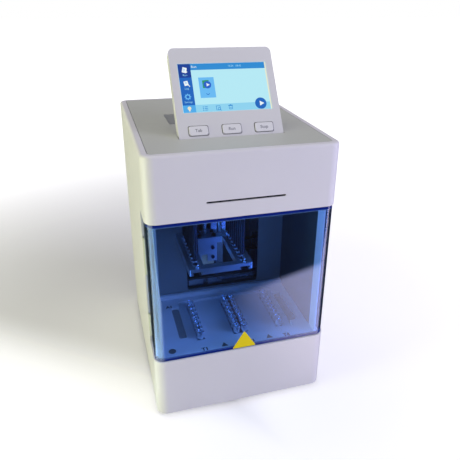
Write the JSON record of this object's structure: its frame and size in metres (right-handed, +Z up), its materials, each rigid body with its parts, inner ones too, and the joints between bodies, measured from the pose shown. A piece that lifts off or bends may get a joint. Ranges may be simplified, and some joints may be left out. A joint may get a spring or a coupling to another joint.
{
  "type": "nucleic acid extractor",
  "caption": "Bench nucleic acid extractor: white case, blue wrap-round door, heated plate deck, magnetic rod head and fold-up touch display.",
  "frame": {"origin": "on the bench, under the middle of the case and its feet", "axes": "+Z up, +X to the operator's right, +Y towards the back"},
  "size_m": [0.204, 0.257, 0.4002],
  "materials": {
    "case_white": "fine satin texture",
    "top_grey": "fine matt texture",
    "door_blue": "clear tinted, polished",
    "tray_white": "smooth satin",
    "sheet_white": "powder coat",
    "steel": "ground",
    "dark_steel": "black oxide",
    "aluminium": "bead blasted",
    "magnet_black": "satin black",
    "black_plastic": "moulded",
    "foot_rubber": "matt",
    "belt_rubber": "matt",
    "lamp_diffuser": "opal",
    "slot_lens": "smoked",
    "screen_glass": "polished, lit",
    "button_white": "satin",
    "board_green": "solder resist",
    "flag_beige": "machined laminate"
  },
  "bodies": {
    "housing": {"outer_housing": "case_white", "top_panel": "top_grey", "rear_panel": "sheet_white", "bottom_plate": "sheet_white", "feet": "foot_rubber", "status_lens": "slot_lens", "case_hinge_leaves": "steel", "door_hinge_pins": "steel", "door_magnet": "magnet_black", "chamber_liner_left": "sheet_white", "chamber_liner_right": "sheet_white", "chamber_hood": "sheet_white", "door_header": "black_plastic", "light_bar": "lamp_diffuser", "deck_tray": "tray_white", "heater_base": "aluminium", "heater_strip_1": "aluminium", "heater_strip_2": "aluminium", "heater_strip_3": "aluminium", "heater_strip_4": "aluminium", "cross_rails": "steel", "gantry_frame": "sheet_white", "drive_belt": "belt_rubber", "cross_motor": "dark_steel", "display_pins": "steel", "fan_frame": "black_plastic", "power_inlet": "black_plastic", "switch_body": "black_plastic", "usb_port": "steel", "power_supply": "sheet_white", "control_board": "board_green"},
    "door": {"door_window": "door_blue", "door_hinge_leaves": "steel", "door_strike": "steel"},
    "display": {"display_bezel": "case_white", "display_back_cover": "case_white", "display_board": "board_green", "touch_screen": "screen_glass"},
    "tab_button": {"tab_button": "button_white"},
    "run_button": {"run_button": "button_white"},
    "stop_button": {"stop_button": "button_white"},
    "carriage": {"cross_carriage": "sheet_white", "guide_blocks": "steel", "z_rail": "steel", "comb_motor": "dark_steel"},
    "comb_screw": {"comb_lead_screw": "steel"},
    "sleeve_stage": {"comb_frame": "aluminium", "comb_bracket": "aluminium", "comb_screws": "steel", "comb_slider": "steel", "sensor_flag": "flag_beige", "head_tower": "aluminium", "rod_motor": "dark_steel"},
    "rod_screw": {"rod_lead_screw": "steel"},
    "rod_stage": {"rod_plate": "aluminium", "magnet_rods": "magnet_black"},
    "drive_pulley": {"drive_pulley": "aluminium"},
    "idler_pulley": {"idler_pulley": "aluminium"},
    "rocker": {"power_switch": "black_plastic"},
    "fan": {"fan_rotor": "black_plastic"}
  },
  "joints": [
    {"name": "door_hinge", "type": "hinge", "parent": "housing", "child": "door", "pos_m": [-0.1002, -0.0871, 0.16415], "axis": [0, 0, -1], "range_deg": [0, 105]},
    {"name": "display_tilt", "type": "hinge", "parent": "housing", "child": "display", "pos_m": [0, -0.0732, 0.3125], "axis": [1, 0, 0], "range_deg": [-56.4, 6.6]},
    {"name": "tab_press", "type": "slide", "parent": "display", "child": "tab_button", "axis": [0, 0.8329, -0.5534], "range_m": [0, 0.0007], "stiffness_N_per_m": 2500},
    {"name": "run_press", "type": "slide", "parent": "display", "child": "run_button", "axis": [0, 0.8329, -0.5534], "range_m": [0, 0.0007], "stiffness_N_per_m": 2500},
    {"name": "stop_press", "type": "slide", "parent": "display", "child": "stop_button", "axis": [0, 0.8329, -0.5534], "range_m": [0, 0.0007], "stiffness_N_per_m": 2500},
    {"name": "cross_slide", "type": "slide", "parent": "housing", "child": "carriage", "axis": [1, 0, 0], "range_m": [0, 0.0485]},
    {"name": "sleeve_lift", "type": "slide", "parent": "carriage", "child": "sleeve_stage", "axis": [0, 0, -1], "range_m": [0, 0.045]},
    {"name": "rod_lift", "type": "slide", "parent": "sleeve_stage", "child": "rod_stage", "axis": [0, 0, -1], "range_m": [0, 0.048]},
    {"name": "comb_screw_turn", "type": "hinge", "parent": "carriage", "child": "comb_screw", "pos_m": [-0.014, 0.0165, 0.184], "axis": [0, 0, 1], "range_deg": [0, 2026]},
    {"name": "rod_screw_turn", "type": "hinge", "parent": "sleeve_stage", "child": "rod_screw", "pos_m": [-0.0193, -0.0165, 0.224], "axis": [0, 0, 1], "range_deg": [0, 2161]},
    {"name": "drive_pulley_turn", "type": "hinge", "parent": "housing", "child": "drive_pulley", "pos_m": [-0.062, 0.0435, 0.122], "axis": [0, 1, 0], "range_deg": [0, 320]},
    {"name": "idler_pulley_turn", "type": "hinge", "parent": "housing", "child": "idler_pulley", "pos_m": [0.074, 0.0435, 0.122], "axis": [0, 1, 0], "range_deg": [0, 320]},
    {"name": "switch_rock", "type": "hinge", "parent": "housing", "child": "rocker", "pos_m": [0.016, 0.1233, 0.038], "axis": [1, 0, 0], "range_deg": [-18, 0]},
    {"name": "fan_spin", "type": "hinge", "parent": "housing", "child": "fan", "pos_m": [0.04, 0.1205, 0.249], "axis": [0, 1, 0], "continuous": true}
  ],
  "couplings": [
    {"joint": "comb_screw_turn", "follows": "sleeve_lift", "rad_per_m": 785.4},
    {"joint": "rod_screw_turn", "follows": "rod_lift", "rad_per_m": 785.4},
    {"joint": "drive_pulley_turn", "follows": "cross_slide", "rad_per_m": 114.94},
    {"joint": "idler_pulley_turn", "follows": "cross_slide", "rad_per_m": 114.94}
  ]
}
